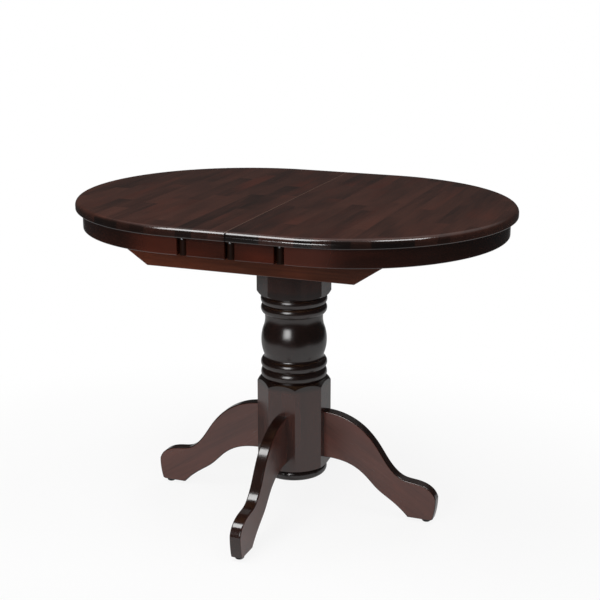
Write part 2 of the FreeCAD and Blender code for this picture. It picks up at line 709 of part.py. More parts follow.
def hinge_room():
    """Recesses for the hinge plates and knuckles in the lower half's hinge edge."""
    rooms = []
    slack = 0.2
    for x in HINGE_PLACES:
        span = (x - HINGE_HALF - slack, x + HINGE_HALF + slack)
        rooms.append(box(span, (-LEAF_HALF - PAST, HINGE_PLATE - LEAF_HALF),
                         (FOLD_HEIGHT - HINGE_WEB - slack, FOLD_HEIGHT)))
        rooms.append(rod(KNUCKLE + 2 * slack, V(span[0], -LEAF_HALF, FOLD_HEIGHT), X, span[1] - span[0]))
    return Part.makeCompound(rooms)


def leaf_lower():
    """The half that turns on the pivot and lies underneath when the leaf is folded."""
    radius, thickness = PIVOT_DISC
    holes = leaf_pin_rods(PIN_RADIUS + RUNNING, 0, PIN_REACH + PIN_SLACK)
    board = leaf_board().cut(hinge_room()).cut(Part.makeCompound(holes))
    board = board.cut(rod(radius + 2 * BORE, PIVOT + Z * LEAF_REST, Z, thickness))
    return drilled(board, pivot_screws() + hinge_screws())


def leaf_upper():
    """The half that swings over, face down on the lower half."""
    holes = leaf_pin_rods(PIN_RADIUS, 0, PIN_REACH)
    board = leaf_board().cut(hinge_room()).cut(Part.makeCompound(holes))
    return flipped(drilled(board, hinge_screws()))


def leaf_pins():
    """Wooden pins in the upper half's free edge."""
    return [flipped(pin) for pin in leaf_pin_rods(PIN_RADIUS, PIN_REACH, 2 * PIN_REACH)]


def hinge_plates(outer_knuckles):
    """Hinge plates for the lower half, with either the outer or the middle knuckles."""
    solids = []
    axis = -LEAF_HALF
    for x in HINGE_PLACES:
        web = box((x - HINGE_HALF, x + HINGE_HALF), (axis, axis + HINGE_PLATE),
                  (FOLD_HEIGHT - HINGE_WEB, FOLD_HEIGHT - LEAF_FACE_GAP / 2))
        outer = [(x - HINGE_HALF, x - HINGE_MIDDLE), (x + HINGE_MIDDLE, x + HINGE_HALF)]
        middle = [(x - HINGE_MIDDLE + KNUCKLE_GAP, x + HINGE_MIDDLE - KNUCKLE_GAP)]
        own, other = (outer, middle) if outer_knuckles else (middle, outer)
        for a, b in other:
            start = V(a - KNUCKLE_GAP, axis, FOLD_HEIGHT)
            web = web.cut(rod(KNUCKLE + KNUCKLE_GAP, start, X, b - a + 2 * KNUCKLE_GAP))
        for a, b in own:
            web = web.fuse(rod(KNUCKLE, V(a, axis, FOLD_HEIGHT), X, b - a))
        bore = rod(HINGE_PIN + RUNNING, V(x - HINGE_HALF, axis, FOLD_HEIGHT), X, 2 * HINGE_HALF)
        solids.append(drilled(web.removeSplitter().cut(bore), hinge_screws()))
    return solids


def hinge_pins():
    return [rod(HINGE_PIN, V(x - HINGE_HALF, -LEAF_HALF, FOLD_HEIGHT), X, 2 * HINGE_HALF)
            for x in HINGE_PLACES]


def hinge_screws():
    """Screws through the hinge plates into the lower half's edge."""
    height = FOLD_HEIGHT - HINGE_SCREW_DROP
    return [(V(x + dx, -LEAF_HALF, height), Y, *SCREWS["hinge"])
            for x in HINGE_PLACES for dx in HINGE_SCREW_PLACES]


def pivot_plate():
    """A steel disc let into the leaf, with the stud that it turns on."""
    radius, thickness = PIVOT_DISC
    disc = rod(radius, PIVOT + Z * LEAF_REST, Z, thickness)
    low = DECK_BOTTOM + 3
    stud = rod(BUSH_BORE - RUNNING, PIVOT + Z * low, Z, LEAF_REST - low)
    return drilled(disc.fuse(stud).removeSplitter(), pivot_screws())


def pivot_screws():
    """Four screws up through the pivot's disc into the leaf."""
    places = []
    for index in range(4):
        spoke = FreeCAD.Rotation(Z, 45.0 + 90.0 * index).multVec(X * PIVOT_SCREW_RING)
        places.append((PIVOT + Z * LEAF_REST + spoke, Z, *SCREWS["pivot"]))
    return places


def pivot_bush():
    """A flanged brass bush in the deck."""
    low = DECK_BOTTOM + 2
    outer = BUSH_OUTER - BORE
    flange, thickness = BUSH_FLANGE
    bush = turned((BUSH_BORE, low), [(outer, low), (outer, DECK_TOP), (flange, DECK_TOP),
                                     (flange, DECK_TOP + thickness), (BUSH_BORE, DECK_TOP + thickness),
                                     (BUSH_BORE, low)])
    bush.translate(PIVOT)
    return bush


# ---- Locks under the seam ------------------------------------------------------------------
def headed_stud(x, y, below):
    """A stud with a head, hanging from a lock plate; below is its shank's free length."""
    radius, height = RIVET_HEAD
    shank_end = LOCK_PLATE_BOTTOM - below
    shank = rod(RIVET_RADIUS, V(x, y, shank_end), Z, below + PAST)
    return shank.fuse(rod(radius, V(x, y, shank_end - height), Z, height))


def lock_base(side):
    """A steel plate under the left half that carries a lever."""
    half_length, half_width, _ = LOCK_PLATE
    y = side * LOCK_PLACE
    plate = centred(LOCK_PIVOT_X, y, half_length, half_width, (LOCK_PLATE_BOTTOM, TOP_UNDERSIDE))
    pivot = headed_stud(LOCK_PIVOT_X, y, LEVER_THICKNESS + 2 * LEVER_GAP)
    return drilled(plate.fuse(pivot).removeSplitter(), lock_screws())


def lock_screws():
    return [(V(LOCK_PIVOT_X + dx, side * LOCK_PLACE, LOCK_PLATE_BOTTOM), Z, *SCREWS["lock"])
            for dx in LOCK_SCREW_PLACES for side in SIDES.values()]


def lock_keeper(side):
    """A plate under the right half with the headed stud that the lever hooks."""
    y = side * LOCK_PLACE
    half_width = LOCK_PLATE[1]
    plate = box((KEEPER_X + KEEPER_SPAN[0], KEEPER_X + KEEPER_SPAN[1]),
                (y - half_width, y + half_width), (LOCK_PLATE_BOTTOM, TOP_UNDERSIDE))
    stud = headed_stud(KEEPER_X, y, LEVER_THICKNESS + 3 * LEVER_GAP)
    return drilled(plate.fuse(stud).removeSplitter(), keeper_screws())


def keeper_screws():
    return [(V(KEEPER_X + dx, side * LOCK_PLACE, LOCK_PLATE_BOTTOM), Z, *SCREWS["lock"])
            for dx in KEEPER_SCREW_PLACES for side in SIDES.values()]


def lock_lever(side):
    """A flat hook with a thumb tail, shown swung clear of its keeper."""
    low = LOCK_PLATE_BOTTOM - LEVER_THICKNESS - LEVER_GAP
    ends = (-20.0, LOCK_REACH + 3)
    arm = box(ends, (-LEVER_HALF, LEVER_HALF), (low, low + LEVER_THICKNESS))
    for x, radius in ((ends[0], LEVER_HALF), (ends[1], LEVER_HALF), LEVER_TAIL):
        arm = arm.fuse(rod(radius, V(x, 0, low), Z, LEVER_THICKNESS))
    cutter_z = (low - PAST, low + LEVER_THICKNESS + PAST)
    slot = box((LOCK_REACH - 4.4, LOCK_REACH + 3.6), (-3.4, LEVER_HALF + PAST), cutter_z)
    rivet_hole = rod(RIVET_RADIUS + RUNNING, V(0, 0, cutter_z[0]), Z, cutter_z[1] - cutter_z[0])
    arm = arm.removeSplitter().cut(slot).cut(rivet_hole)
    arm = turn(mirror_y(arm, -side), side * LOCK_OPEN_ANGLE)
    arm.translate(V(LOCK_PIVOT_X, side * LOCK_PLACE, 0))
    return arm


# ---- Write the pieces ------------------------------------------------------------------------
def save(name, *solids):
    """Write one named piece, or a group of like pieces, to its own file."""
    shape = solids[0] if len(solids) == 1 else Part.makeCompound(solids)
    good = shape.isValid() and all(solid.Volume > 0 for solid in shape.Solids)
    print(f"{name:28s} solids {len(shape.Solids):2d}  volume {shape.Volume / 1000:9.2f} cm3"
          + ("" if good else "  NOT VALID"))
    shape.exportStep(f"parts/{name}.step")


def build_pedestal():
    save("column", column())
    save("column_plug", column_plug())
    save("column_plate", column_plate())
    save("plate_screws", *screws_of(plate_screws()))
    for name in LEG_TURNS:
        save(f"leg_{name}", leg(name))
    save("leg_glides", *[glide(name) for name in LEG_TURNS])
    save("leg_bolts", *leg_bolts())
    save("leg_nuts", *leg_nuts())


def build_frame():
    save("frame_deck", deck())
    save("frame_bolts", *screws_of(frame_bolts()))
    save("frame_nuts", *frame_nuts())
    save("leaf_felts", *leaf_felts())
    save("pivot_bush", pivot_bush())
    for name, end in ENDS.items():
        save(f"frame_bearer_{name}", bearer(end))
    for name, side in SIDES.items():
        save(f"frame_rail_{name}", rail(side))
        save(f"slide_strip_{name}", slide_strip(side))
    save("slide_stops", *slide_stops())
    save("strip_screws", *screws_of(strip_screws(-1) + strip_screws(1)))


def build_half(name, end):
    save(f"top_{name}", top_half(end))
    save(f"apron_{name}_curved", curved_apron(end))
    for side_name, side in SIDES.items():
        save(f"apron_{name}_{side_name}", straight_apron(end, side))
        save(f"runner_{name}_{side_name}", runner(end, side))
    save(f"joint_blocks_{name}", *[outer_joint_block(end, side) for side in SIDES.values()])
    save(f"brackets_{name}", *brackets(end))
    save(f"block_screws_{name}", *screws_of(block_screws(end)))
    save(f"top_screws_{name}", *screws_of(top_screws(end) + bracket_screws(end, into_top=False)))


def build_seam():
    save("seam_pins", *seam_pins())
    save("seam_blocks", *[seam_block(side) for side in SIDES.values()])
    save("lock_bases", *[lock_base(side) for side in SIDES.values()])
    save("lock_keepers", *[lock_keeper(side) for side in SIDES.values()])
    for name, side in SIDES.items():
        save(f"lock_lever_{name}", lock_lever(side))


def build_leaf():
    save("leaf_lower", leaf_lower())
    save("leaf_upper", leaf_upper())
    save("leaf_pins", *leaf_pins())
    save("leaf_pivot_plate", pivot_plate())
    save("leaf_hinge_lower", *hinge_plates(outer_knuckles=True))
    save("leaf_hinge_upper", *[flipped(plate) for plate in hinge_plates(outer_knuckles=False)])
    save("leaf_hinge_pins", *hinge_pins())
    save("leaf_screws_lower", *screws_of(hinge_screws() + pivot_screws()))
    save("leaf_screws_upper", *[flipped(each) for each in screws_of(hinge_screws())])


os.makedirs("parts", exist_ok=True)
build_pedestal()
build_frame()
for half_name, half_end in ENDS.items():
    build_half(half_name, half_end)
build_seam()
build_leaf()
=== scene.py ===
# %% [markdown]
# # A lacquered butterfly leaf table
#
# The table is a dark stained wooden one: an oval top that parts in the middle, a bent apron
# under it, a turned column and four flat sabre legs.  Its wooden parts, slides and screws
# already exist as solids at their real size.  This lesson gives every one of them its finish,
# and models the screws anew, because the solids only sketch their shape.
#
# The solids come first.  They could be modelled again here, but then a joint or a screw hole
# might end up a millimetre off.  So they are the fixed frame, and nothing below moves them.

# %% Load the frame
import bpy
import json
import math
import numpy as np
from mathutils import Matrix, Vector

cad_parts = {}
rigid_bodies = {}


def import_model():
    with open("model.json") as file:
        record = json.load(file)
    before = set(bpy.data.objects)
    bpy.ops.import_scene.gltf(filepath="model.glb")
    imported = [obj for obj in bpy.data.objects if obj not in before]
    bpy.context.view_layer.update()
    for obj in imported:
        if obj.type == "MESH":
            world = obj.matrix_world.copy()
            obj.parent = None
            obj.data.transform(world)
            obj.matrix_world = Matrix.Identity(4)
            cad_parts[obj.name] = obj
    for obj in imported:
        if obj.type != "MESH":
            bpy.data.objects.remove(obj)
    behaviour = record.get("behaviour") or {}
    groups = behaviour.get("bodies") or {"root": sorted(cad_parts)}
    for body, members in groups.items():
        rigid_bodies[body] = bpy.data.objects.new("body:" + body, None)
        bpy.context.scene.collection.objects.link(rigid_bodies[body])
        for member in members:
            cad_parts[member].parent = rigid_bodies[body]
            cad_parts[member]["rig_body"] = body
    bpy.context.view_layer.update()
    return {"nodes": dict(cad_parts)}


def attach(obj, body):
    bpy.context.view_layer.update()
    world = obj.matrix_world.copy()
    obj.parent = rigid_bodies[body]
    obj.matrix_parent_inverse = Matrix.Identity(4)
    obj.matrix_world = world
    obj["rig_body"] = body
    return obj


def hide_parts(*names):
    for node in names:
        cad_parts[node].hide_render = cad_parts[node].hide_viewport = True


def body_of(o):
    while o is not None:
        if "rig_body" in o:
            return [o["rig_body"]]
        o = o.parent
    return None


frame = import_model()
scene = bpy.context.scene
scene.view_settings.view_transform = "Standard"

# %% [markdown]
# ## The camera
#
# A product camera stands about three metres away, half a metre higher than the table's top, and
# looks down by a sixth of a right angle.  A wide lens close by would show as much, but it would
# shrink the far edge.  A long lens keeps the far edge of the oval almost as large as the near
# one, so the shape reads as it would to the eye.

# %% Camera
CAMERA_DISTANCE = 2.9219          # metres from the column, on the floor
CAMERA_HEIGHT = 1.3258
CAMERA_AROUND = math.radians(21.318)
CAMERA_DOWN = math.radians(15.496)
CAMERA_ASIDE = math.radians(-0.278)
LENS_PER_WIDTH = 1271.0 / 600.0   # focal length over picture width

camera_data = bpy.data.cameras.new("camera")
camera_data.lens = camera_data.sensor_width * LENS_PER_WIDTH
camera = bpy.data.objects.new("camera", camera_data)
camera.location = (CAMERA_DISTANCE * math.sin(CAMERA_AROUND),
                   -CAMERA_DISTANCE * math.cos(CAMERA_AROUND), CAMERA_HEIGHT)
camera.rotation_euler = (math.pi / 2 - CAMERA_DOWN, 0, CAMERA_AROUND + CAMERA_ASIDE)
scene.collection.objects.link(camera)
scene.camera = camera
print("lens", round(camera_data.lens, 1), "mm")

# %% [markdown]
# ## The lamps
#
# Lacquer is a mirror with a weak reflection, so a lamp is a shape as much as a brightness.  A
# bright room would light the table too, but only soft boxes draw lines and windows on it.
#
# - Two strips overhead draw the bright line along the rim, with a break between them, and the
#   patches on the legs.
# - A box in front puts a window on the turned vase.
# - A low box in front draws a second, lower line on the rim.
# - A dim box behind lifts the back, and doesn't show in the lacquer.
#
# A photographer puts a grid over a box to narrow its light, and hangs a black flag between a
# lamp and what it must not reach.  Here the box in front has a grid.  It and the box behind are
# flagged off the flat top, on which the box in front would lie as a white sheet, and the low
# box is flagged off everything but the top.
#
# A soft box's brightness is its power over pi times its area, and the function turns that
# around, so that a lamp can be made larger without changing how bright it looks.

# %% Soft boxes
TOP_HALVES = ("top_left", "top_right")


def soft_box(name, centre, target, width, height, brightness, spread=180.0):
    """A rectangular lamp at centre that faces target: power = brightness * pi * width * height.

    A grid over it lets light out only within spread degrees, most of it straight ahead.  With a
    as half the spread, that gathers the light tan a / (tan a - a) times, so the power is
    divided by as much.
    """
    data = bpy.data.lights.new(name, "AREA")
    data.shape = "RECTANGLE"
    data.size = width
    data.size_y = height
    data.energy = brightness * math.pi * width * height
    if spread < 180.0:
        half = math.radians(spread / 2)
        data.spread = 2 * half
        data.energy /= math.tan(half) / (math.tan(half) - half)
    lamp = bpy.data.objects.new(name, data)
    lamp.location = centre
    lamp.rotation_euler = (Vector(target) - Vector(centre)).to_track_quat("-Z", "Y").to_euler()
    lamp.visible_camera = False
    scene.collection.objects.link(lamp)
    print(name, round(data.energy), "W")
    return lamp


def flag(lamp, state, nodes):
    """Keeps a lamp off these solids (EXCLUDE), or off everything but them (INCLUDE)."""
    group = bpy.data.collections.new(lamp.name + "_flag")
    for node in nodes:
        group.objects.link(frame["nodes"][node])
    for member in group.collection_objects:
        member.light_linking.link_state = state
    lamp.light_linking.receiver_collection = group


soft_box("strip_left", centre=(-0.66, -0.90, 2.60), target=(-0.50, 0.00, 0.70),
         width=1.35, height=1.20, brightness=7.5)
soft_box("strip_right", centre=(1.25, -0.32, 2.60), target=(0.87, 0.50, 0.70),
         width=1.00, height=0.70, brightness=7.5)
box_in_front = soft_box("box_in_front", centre=(-0.18, -2.50, 1.36), target=(0.00, 0.00, 0.50),
                        width=1.15, height=1.25, brightness=8.0, spread=60.0)
low_box = soft_box("low_box", centre=(-0.10, -2.30, 0.66), target=(0.00, 0.00, 0.66),
                   width=1.00, height=0.20, brightness=13.0)
box_behind = soft_box("box_behind", centre=(0.30, 2.60, 1.40), target=(0.00, 0.00, 0.60),
                      width=1.70, height=1.25, brightness=2.5)
flag(box_in_front, "EXCLUDE", TOP_HALVES)
flag(low_box, "INCLUDE", TOP_HALVES)
flag(box_behind, "EXCLUDE", TOP_HALVES)
box_behind.visible_glossy = False

# %% [markdown]
# ## Writing node maths as Python
#
# A material is a graph of nodes.  It could be wired by hand in the editor, but that hides the
# formula.  So `Value` wraps a node's socket and gives it Python's own operators:
# `0.5 * grain + tone` adds its Math nodes.  `Finish` holds one material.  Its `node` method
# makes any other node: settings go first, because they decide which sockets the node has.

# %% The socket wrapper
class Value:
    """One output socket; arithmetic on it adds Math nodes to its finish."""

    def __init__(self, finish, socket):
        self.finish = finish
        self.socket = socket

    def beside(self, output):
        """Another output of the same node."""
        return Value(self.finish, self.socket.node.outputs[output])

    def maths(self, operation, *others):
        """A Math node on this value and then the others."""
        return self.finish.node("Math", {"operation": operation}, dict(enumerate((self, *others))))

    def floor(self):
        return self.maths("FLOOR")

    def __abs__(self):
        return self.maths("ABSOLUTE")

    def __add__(self, other):
        return self.maths("ADD", other)

    def __sub__(self, other):
        return self.maths("SUBTRACT", other)

    def __rsub__(self, other):
        return self.finish.node("Math", {"operation": "SUBTRACT"}, {0: other, 1: self})

    def __mul__(self, other):
        return self.maths("MULTIPLY", other)

    def __truediv__(self, other):
        return self.maths("DIVIDE", other)

    __radd__ = __add__
    __rmul__ = __mul__


print("a Value understands +, -, *, / and abs()")

# %% A finish being written
MIX_FACTOR, MIX_FIRST, MIX_SECOND = 0, 6, 7   # a Mix node's sockets when it mixes colours
MIX_RESULT = 2


class Finish:
    """A node tree being written: a material's, or the world's."""

    def __init__(self, tree):
        self.tree = tree
        tree.nodes.clear()

    def node(self, kind, settings=None, inputs=None, output=0):
        """Adds a node of this kind and gives one of its outputs as a Value."""
        made = self.tree.nodes.new("ShaderNode" + kind)
        for key, value in (settings or {}).items():
            setattr(made, key, value)
        for key, value in (inputs or {}).items():
            if isinstance(value, Value):
                self.tree.links.new(value.socket, made.inputs[key])
            else:
                made.inputs[key].default_value = value
        return Value(self, made.outputs[output] if len(made.outputs) else None)

    def between(self, low, high, value, outputs=(0.0, 1.0)):
        """Goes smoothly from the first output at low to the second at high."""
        return self.node("MapRange", {"interpolation_type": "SMOOTHSTEP"},
                         {"Value": value, "From Min": low, "From Max": high,
                          "To Min": outputs[0], "To Max": outputs[1]})

    def vector(self, x, y, z):
        return self.node("CombineXYZ", inputs={"X": x, "Y": y, "Z": z})

    def noise(self, place, scale=1.0, detail=2.0):
        """Soft random hills from 0 to 1, scale of them a metre; detail adds finer ones on them."""
        return self.node("TexNoise", inputs={"Vector": place, "Scale": scale, "Detail": detail})

    def dice(self, place):
        """A random number from 0 to 1 for each whole-numbered place."""
        return self.node("TexWhiteNoise", {"noise_dimensions": "3D"}, {"Vector": place})

    def blend(self, factor, first, second):
        """A colour from first at factor 0 to second at factor 1."""
        inputs = {MIX_FACTOR: factor, MIX_FIRST: first, MIX_SECOND: second}
        return self.node("Mix", {"data_type": "RGBA"}, inputs, output=MIX_RESULT)


def new_finish(name):
    """A new material, and the Finish that writes its nodes."""
    material = bpy.data.materials.new(name)
    material.use_nodes = True
    return material, Finish(material.node_tree)


def colour(red, green, blue):
    """A colour as the eye reads it, 0 to 255, turned into the linear light that a shader mixes."""
    shares = np.array([red, green, blue]) / 255.0
    linear = np.where(shares <= 0.04045, shares / 12.92, ((shares + 0.055) / 1.055) ** 2.4)
    return (*(float(part) for part in linear), 1.0)


print("a colour:", [round(part, 3) for part in colour(70, 40, 30)])

# %% [markdown]
# ## Which way the fibres run
#
# Wood is drawn out along its fibres, so every wood pattern below needs to know how far a point
# is along the fibres, across them, and in depth.  A map unwrapped for each piece could say so,
# but a formula on the point's own place needs no map and stays sharp at any size.  Straight
# boards take the three from the table's axes.  A bent apron's fibres follow the bend, and a
# leg's run down its slope.

# %% Fibre directions
BEND_CENTRE = 0.150               # from the table's middle to about the centre of an apron's bend
BEND_RADIUS = 0.36                # about the bend's radius
LEG_SLOPE = math.radians(-33.0)
END_APART = 3.0                   # metres by which each end's pattern is shifted, opposite ways
LEG_APART = (1.7, 3.1)            # the same for the legs, by their side of x and their side of y


def spot_on(finish):
    """The point being shaded, as one vector in metres."""
    return finish.node("TexCoord", output="Object")


def place_on(finish):
    """The point being shaded, as three numbers in metres."""
    x = finish.node("SeparateXYZ", inputs={"Vector": spot_on(finish)})
    return x, x.beside("Y"), x.beside("Z")


def distance(x, y):
    """The root of x squared plus y squared."""
    return (x * x + y * y).maths("SQRT")


def along_x(finish):
    """Along = x, across = height, depth = y."""
    x, y, z = place_on(finish)
    return x, z, y


def along_y(finish):
    """Along = y, across = x, depth = height."""
    x, y, z = place_on(finish)
    return y, x, z


def along_z(finish):
    """Along = height, across = x, depth = y."""
    x, y, z = place_on(finish)
    return z, x, y


def along_bend(finish):
    """Along = angle about the bend's centre times its radius; depth = distance from that centre."""
    x, y, z = place_on(finish)
    out = abs(x) - BEND_CENTRE
    angle = y.maths("ARCTAN2", out)
    return angle * BEND_RADIUS + x.maths("SIGN") * END_APART, z, distance(out, y)


def along_leg(finish):
    """Along and across = reach from the column and height, turned by the slope of the leg."""
    x, y, z = place_on(finish)
    reach = abs(x).maths("MAXIMUM", abs(y))
    flank = abs(x).maths("MINIMUM", abs(y))
    cosine, sine = math.cos(LEG_SLOPE), math.sin(LEG_SLOPE)
    apart = x.maths("SIGN") * LEG_APART[0] + y.maths("SIGN") * LEG_APART[1]
    return reach * cosine + z * sine + apart, z * cosine - reach * sine, flank


print("fibres: straight three ways, bent, and sloping")

# %% [markdown]
# ## Stained wood under lacquer
#
# Boards of this kind are glued up from short staves.  A dark stain evens them out, but each
# stave still takes a slightly different tone, and that patchwork is what tells wood from paint.
# A picture of a board could be laid on, but it would repeat, and blur close by.  Here the
# pattern is worked out at four sizes: a tone per stave, slow clouds of red, streaks a few
# millimetres wide, and fine pores.  The first three change the colour.  The pores also dent
# the surface.
#
# The tone comes from rolling a die for each stave: the stave's number across, and its number
# along after shifting each row by its own roll.  The lacquer fills the pores almost level, so
# the dents are faint and the shine is the lacquer's own.

# %% The stained wood recipe
ONE_PIECE = (0.2, 0.9)            # stave width and length of a board that isn't glued up, metres
LAYER = 1.3                       # the depth in which the tone stays the same, in stave widths
ROW_ROLL = 7.0                    # keeps the roll that shifts a row apart from the tones' rolls
TONE_SHIFT = 11.0                 # waves of the noise that lie between staves of unlike tone
RED_SHIFT = 4.0                   # waves that keep the red patches apart from the clouds
CLOUD_SHARE = 0.7                 # how far the clouds go between dark and light
NOISE_RANGE = (0.3, 0.7)          # nearly all that a noise reaches
SHADE_RANGE = (0.05, 0.95)        # the mixed patterns at which the colour is all dark, all light
RED_RANGE = (0.50, 0.78)          # noise over which the red comes in
PORE_RANGE = (0.60, 0.74)         # noise over which a pore opens
PORE_ROUGHNESS = 0.04             # what a pore adds to the roughness
LACQUER_IOR = 1.75                # hard and well rubbed, so it mirrors a little more than glass
PORE_DEPTH = 0.0003               # metres
PORE_LEFT = 0.02                  # the share of a pore's depth that the lacquer leaves
GROOVE_DEPTH = 0.0025             # metres; see the joint between the halves, further down


def stave_tone(finish, along, across, depth, width, length):
    """A random tone for each stave: a roll for its row, its layer and its number in the row."""
    row = (across / width).floor()
    layer = (depth / (width * LAYER)).floor()
    shift = finish.dice(finish.vector(row, layer, ROW_ROLL)) * length
    number = ((along + shift) / length).floor()
    return finish.dice(finish.vector(row, number, layer))


def drawn_noise(finish, place, waves, shift=0.0, aside=0.0, detail=2.0):
    """Noise drawn out along the fibres: waves a metre along them, and waves a metre across."""
    along, across, depth = place
    long_way, short_way = waves
    point = finish.vector(along * long_way + shift, across * short_way + aside, depth * short_way)
    return finish.noise(point, detail=detail)


def stained_wood(name, fibres, dark, light, red, stave=ONE_PIECE, tone_share=0.3,
                 streak_share=0.4, red_share=0.5, roughness=0.22, pores=0.25, shine=0.5,
                 touches=None, groove=None):
    """Colour = dark to light by tone, clouds and streaks, then towards red in slow patches.

    Roughness = the lacquer's own, a tenth more or less with the clouds, and a little more in a
    pore.  touches changes both in places, and groove says where the surface sinks.
    """
    material, finish = new_finish(name)
    place = fibres(finish)
    tone = stave_tone(finish, *place, *stave)
    inside = tone * TONE_SHIFT
    clouds = drawn_noise(finish, place, waves=(4.0, 18.0), shift=inside, detail=3.0)
    streaks = drawn_noise(finish, place, waves=(9.0, 240.0), shift=inside, detail=3.0)
    patches = drawn_noise(finish, place, waves=(3.0, 9.0), shift=RED_SHIFT, aside=inside)
    pore = finish.between(*PORE_RANGE, drawn_noise(finish, place, waves=(45.0, 1500.0)))

    mixed = ((tone - 0.5) * tone_share + (clouds - 0.5) * CLOUD_SHARE
             + (streaks - 0.5) * streak_share + 0.5)
    shade = finish.blend(finish.between(*SHADE_RANGE, mixed), dark, light)
    shade = finish.blend(finish.between(*RED_RANGE, patches, (0.0, red_share)), shade, red)
    shade = finish.blend(pore * pores, shade, dark)
    gloss = (finish.between(*NOISE_RANGE, clouds, (roughness * 0.9, roughness * 1.1))
             + pore * PORE_ROUGHNESS)
    if touches:
        shade, gloss = touches(finish, shade, gloss)

    bump = finish.node("Bump", inputs={"Strength": PORE_LEFT, "Distance": PORE_DEPTH,
                                       "Height": 1.0 - pore})
    if groove:
        sunk = GROOVE_DEPTH * groove(finish)
        bump = finish.node("Bump", inputs={"Distance": 1.0, "Height": 1.0 - sunk, "Normal": bump})
    shader = finish.node("BsdfPrincipled", inputs={
        "Base Color": shade, "Roughness": gloss, "Normal": bump,
        "IOR": LACQUER_IOR, "Specular IOR Level": shine})
    finish.node("OutputMaterial", inputs={"Surface": shader})
    print("stained wood:", name, "with", len(finish.tree.nodes), "nodes")
    return material


# %% [markdown]
# ## What differs from piece to piece
#
# One stain doesn't look the same all over.  End grain drinks it and goes nearly black, and a
# spray gun leaves the turned part darker than the flat facets.  Some touches paint light and
# shade instead: a painted highlight on the seam, a paler band of painted light where a bent
# apron begins, and painted shade in the top's joint and on the column's foot.  The legs' narrow
# faces are darkened partly as end grain, partly as painted shade.  Each piece could be painted
# by hand, but its shape already says where such a place is: a height, a distance from the
# middle, or the way that the surface faces.  So every piece with such places has a short
# function, which takes the colour and the gloss and gives them back touched up.
#
# Where the two halves of the top meet, their rims are rounded over, and the joint is a groove
# there.  The solids meet square, so a second bump, as deep as the groove, bends the light into
# it, and the groove is coloured near black as painted shade.

# %% Touches on the top
STAVE = (0.038, 0.30)             # width and length of a stave of the top, metres
SEAM_HALF = (0.0010, 0.0018)      # metres from the seam over which the painted highlight ends
FLAT_FACE = (0.7595, 0.7600)      # heights between which the rim's rounding becomes the flat
GROOVE_HALF = 0.0022              # metres from the joint to the groove's edge
GROOVE_END = (0.7575, 0.7600)     # heights between which the groove runs out


def joint_groove(finish):
    """1 in the middle of the joint on the rim, 0 two millimetres away and on the flat top."""
    x, y, z = place_on(finish)
    beside = finish.between(0.0, GROOVE_HALF, abs(x), (1.0, 0.0))
    return beside * finish.between(*GROOVE_END, z, (1.0, 0.0))


def top_touches(finish, shade, gloss):
    """End grain drinks more stain, so the rim is near black there; the seam has a painted highlight."""
    x, y, z = place_on(finish)
    normal = finish.node("TexCoord", output="Normal")
    facing = finish.node("SeparateXYZ", inputs={"Vector": normal}, output="Y")
    end_grain = finish.between(0.30, 0.85, abs(facing))
    roll = finish.dice(finish.vector((x / STAVE[0]).floor(), 2.0, 5.0))
    thirst = finish.between(0.15, 0.75, roll, (0.95, 0.4))
    shade = finish.blend(end_grain * thirst, shade, colour(16, 11, 9))
    # painted highlight: a paler line where the seam's rounded edges would catch the lamps
    seam = finish.between(*SEAM_HALF, abs(x), (1.0, 0.0)) * finish.between(*FLAT_FACE, z)
    shade = finish.blend(seam * 0.9, shade, colour(104, 80, 70))
    # painted shade: the joint's groove is coloured near black
    return finish.blend(joint_groove(finish), shade, colour(8, 6, 5)), gloss


print("touches: the top's rim, its seam and its joint")

# %% Touches on the apron, the rail, the column and the legs
PALE_BEND = (0.18, 0.27)          # metres from the table's middle over which the painted pale band fades
DARK_RAIL = (0.10, 0.26)          # metres to the right of the middle over which the rail darkens
FOOT_BEAD = (0.103, 0.108)        # heights between which the foot's bead becomes the octagon
FOOT_OCTAGON = (0.306, 0.318)     # heights between which the octagon becomes the turned part
TURNED_PART = (0.548, 0.556)      # heights between which that becomes the upper octagon
FLAT_FLANK = (0.0131, 0.0134)     # a leg is 27 mm thick: its flat faces lie further out


def bent_touches(finish, shade, gloss):
    """Painted light: where the bend begins, facing the lamps in front most, it is coloured paler."""
    x, y, z = place_on(finish)
    # painted light: a paler band for the front lamps' light and sheen on the bend's start
    paler = finish.between(*PALE_BEND, abs(x), (0.75, 0.0))
    return finish.blend(paler, shade, colour(88, 40, 27)), gloss


def rail_touches(finish, shade, gloss):
    """A rail's colour darkens towards its right end."""
    x, y, z = place_on(finish)
    darker = finish.between(*DARK_RAIL, x, (0.0, 0.3))
    return finish.blend(darker, shade, colour(26, 13, 10)), gloss


def column_touches(finish, shade, gloss):
    """Toner darkens all above the foot's octagon, the turning most; the foot's bead has painted shade.
    """
    x, y, z = place_on(finish)
    above_foot = finish.between(*FOOT_OCTAGON, z)
    turning = above_foot * finish.between(*TURNED_PART, z, (1.0, 0.0))
    # toner above the foot's octagon, the turned part most; on the foot's bead, painted shade
    toner_and_shade = turning * 0.30 + above_foot * 0.50 + finish.between(*FOOT_BEAD, z, (0.85, 0.0))
    return finish.blend(toner_and_shade, shade, colour(14, 7, 5)), gloss + turning * 0.02


def leg_touches(finish, shade, gloss):
    """A leg's narrow faces are sawn across the fibres and shine more; they are darkened by stain and
    painted shade.
    """
    x, y, z = place_on(finish)
    narrow = finish.between(*FLAT_FLANK, abs(x).maths("MINIMUM", abs(y)), (1.0, 0.0))
    # darker narrow faces: partly end grain taking more stain, partly painted shade
    return finish.blend(narrow * 0.85, shade, colour(18, 9, 6)), gloss - narrow * 0.10


print("touches: bent aprons, rails, column and legs")
